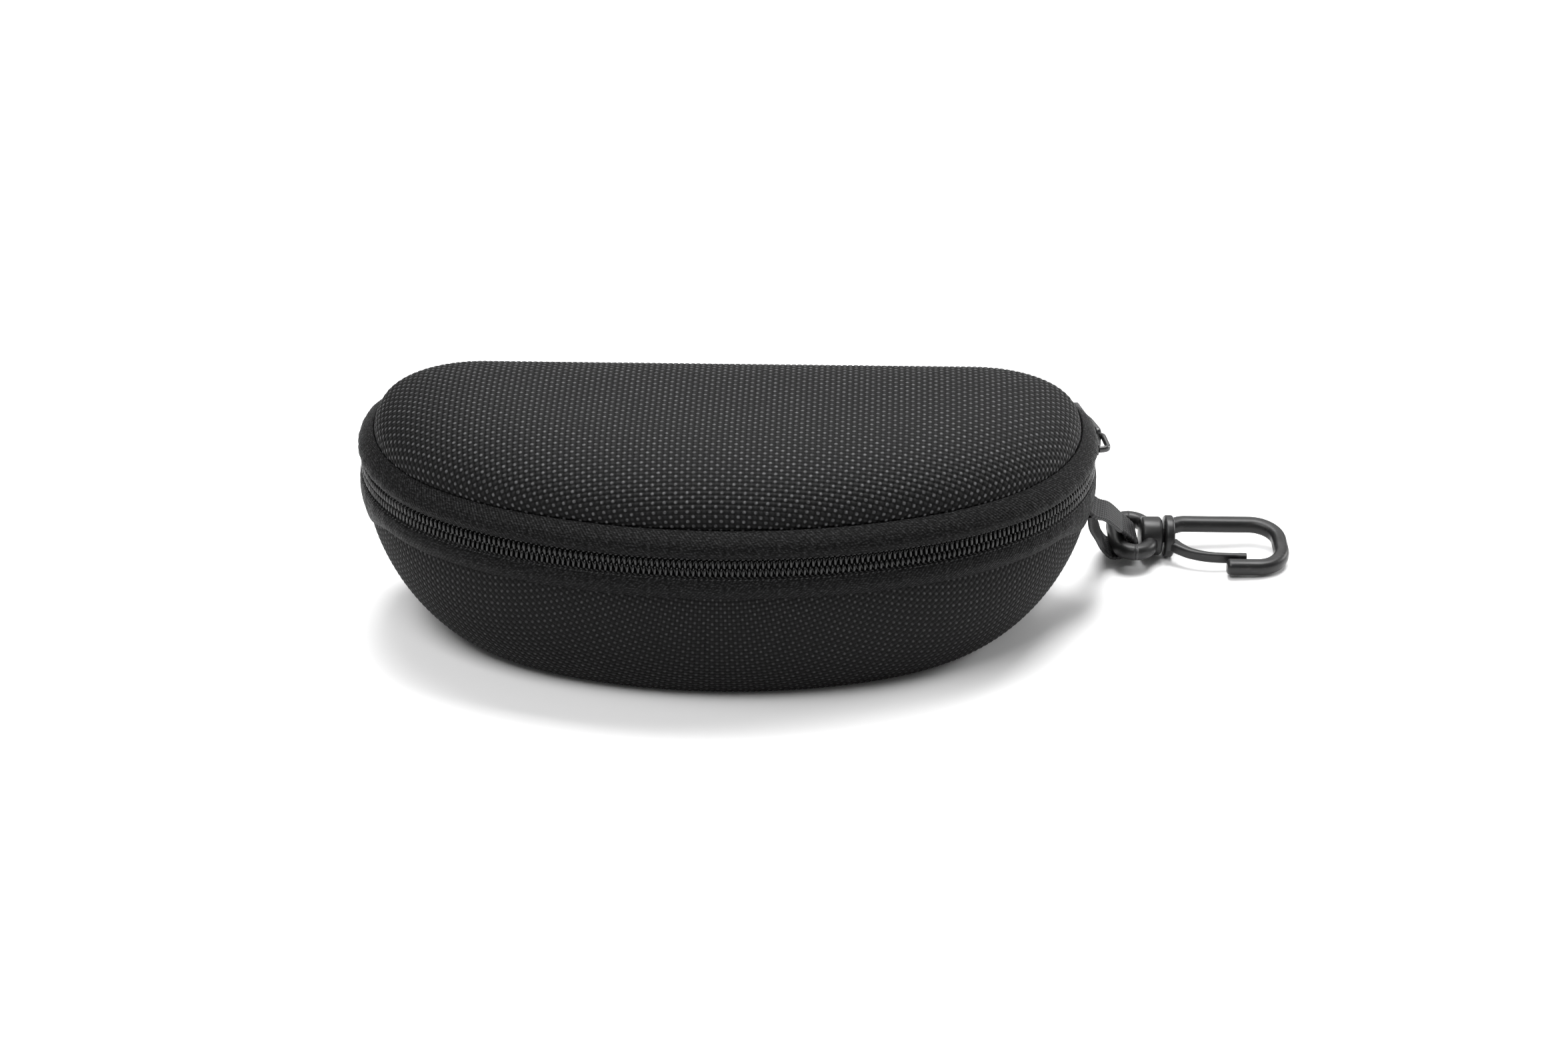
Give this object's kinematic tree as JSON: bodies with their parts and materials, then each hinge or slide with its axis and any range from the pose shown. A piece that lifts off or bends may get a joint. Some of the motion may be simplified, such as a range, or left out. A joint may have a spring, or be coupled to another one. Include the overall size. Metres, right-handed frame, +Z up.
{
  "type": "eyeglasses case",
  "caption": "Zip-round semi-hard eyeglasses case in black woven fabric, with a lid on a fabric hinge and a small swivel snap hook on a webbing loop.",
  "frame": {"origin": "on the surface the case rests on, below the middle of the rim outline's widest line", "axes": "+X to the right along the length (hook end), +Y to the hinged back, +Z up"},
  "size_m": [0.2106, 0.0905, 0.0573],
  "materials": {
    "ballistic_fabric": "coarse plain weave, slightly shiny floats",
    "eva_foam": "matt closed-cell foam",
    "lining_fabric": "brushed knit",
    "zip_tape": "fine twill tape",
    "zip_coil": "glossy nylon coil",
    "edge_binding": "ribbed tape",
    "zip_stop": "black enamel",
    "hinge_fabric": "coarse plain weave",
    "thread": "twisted polyester",
    "slider_metal": "semi-gloss black enamel",
    "webbing": "coarse woven",
    "hook_plastic": "satin moulded"
  },
  "bodies": {
    "base": {"lower_shell_fabric": "ballistic_fabric", "lower_shell_foam": "eva_foam", "lower_lining": "lining_fabric", "lower_zip_tape": "zip_tape", "lower_zip_coil": "zip_coil", "lower_edge_binding": "edge_binding", "lower_end_stop": "zip_stop", "bottom_stop": "zip_stop", "hinge_fabric": "hinge_fabric", "hinge_inner_strip": "edge_binding", "lower_hinge_stitching": "thread"},
    "lid": {"upper_shell_fabric": "ballistic_fabric", "upper_shell_foam": "eva_foam", "upper_lining": "lining_fabric", "upper_zip_tape": "zip_tape", "upper_zip_coil": "zip_coil", "upper_edge_binding": "edge_binding", "upper_end_stop": "zip_stop", "upper_hinge_stitching": "thread"},
    "slider": {"zip_slider_body": "slider_metal", "zip_slider_bridge": "slider_metal"},
    "pull": {"pull_tab": "slider_metal"},
    "strap": {"webbing_loop": "webbing"},
    "eye": {"swivel_eye": "hook_plastic"},
    "hook": {"snap_hook": "hook_plastic"},
    "gate": {"hook_gate": "hook_plastic"}
  },
  "joints": [
    {"name": "lid_hinge", "type": "hinge", "parent": "base", "child": "lid", "pos_m": [0, 0.0393, 0.037], "axis": [-1, 0, 0], "range_deg": [0, 150], "deforming": ["hinge_fabric", "hinge_inner_strip"]},
    {"name": "zip_slide", "type": "hinge", "parent": "base", "child": "slider", "pos_m": [0.03526, 0.01718, 0.037], "axis": [0, 0, -1], "range_deg": [0, 52]},
    {"name": "pull_swing", "type": "hinge", "parent": "slider", "child": "pull", "pos_m": [0.08314, 0.02806, 0.037], "axis": [0, 0, -1], "range_deg": [0, 160]},
    {"name": "strap_swing", "type": "hinge", "parent": "base", "child": "strap", "pos_m": [0.082, 0.0135, 0.0265], "axis": [-0.0797, -0.9968, 0], "range_deg": [0, 70]},
    {"name": "eye_swing", "type": "hinge", "parent": "strap", "child": "eye", "pos_m": [0.08846, 0.04146, 0.00548], "axis": [0.083, -0.9952, -0.0523], "range_deg": [-35, 40]},
    {"name": "hook_swivel", "type": "hinge", "parent": "eye", "child": "hook", "pos_m": [0.1006, 0.0425, 0.00495], "axis": [0.9954, 0.0853, -0.0436], "continuous": true},
    {"name": "gate_flex", "type": "hinge", "parent": "hook", "child": "gate", "pos_m": [0.10295, 0.03814, 0.00414], "axis": [0.0563, -0.1522, 0.9867], "range_deg": [0, 15], "stiffness_Nm_per_rad": 0.004}
  ]
}
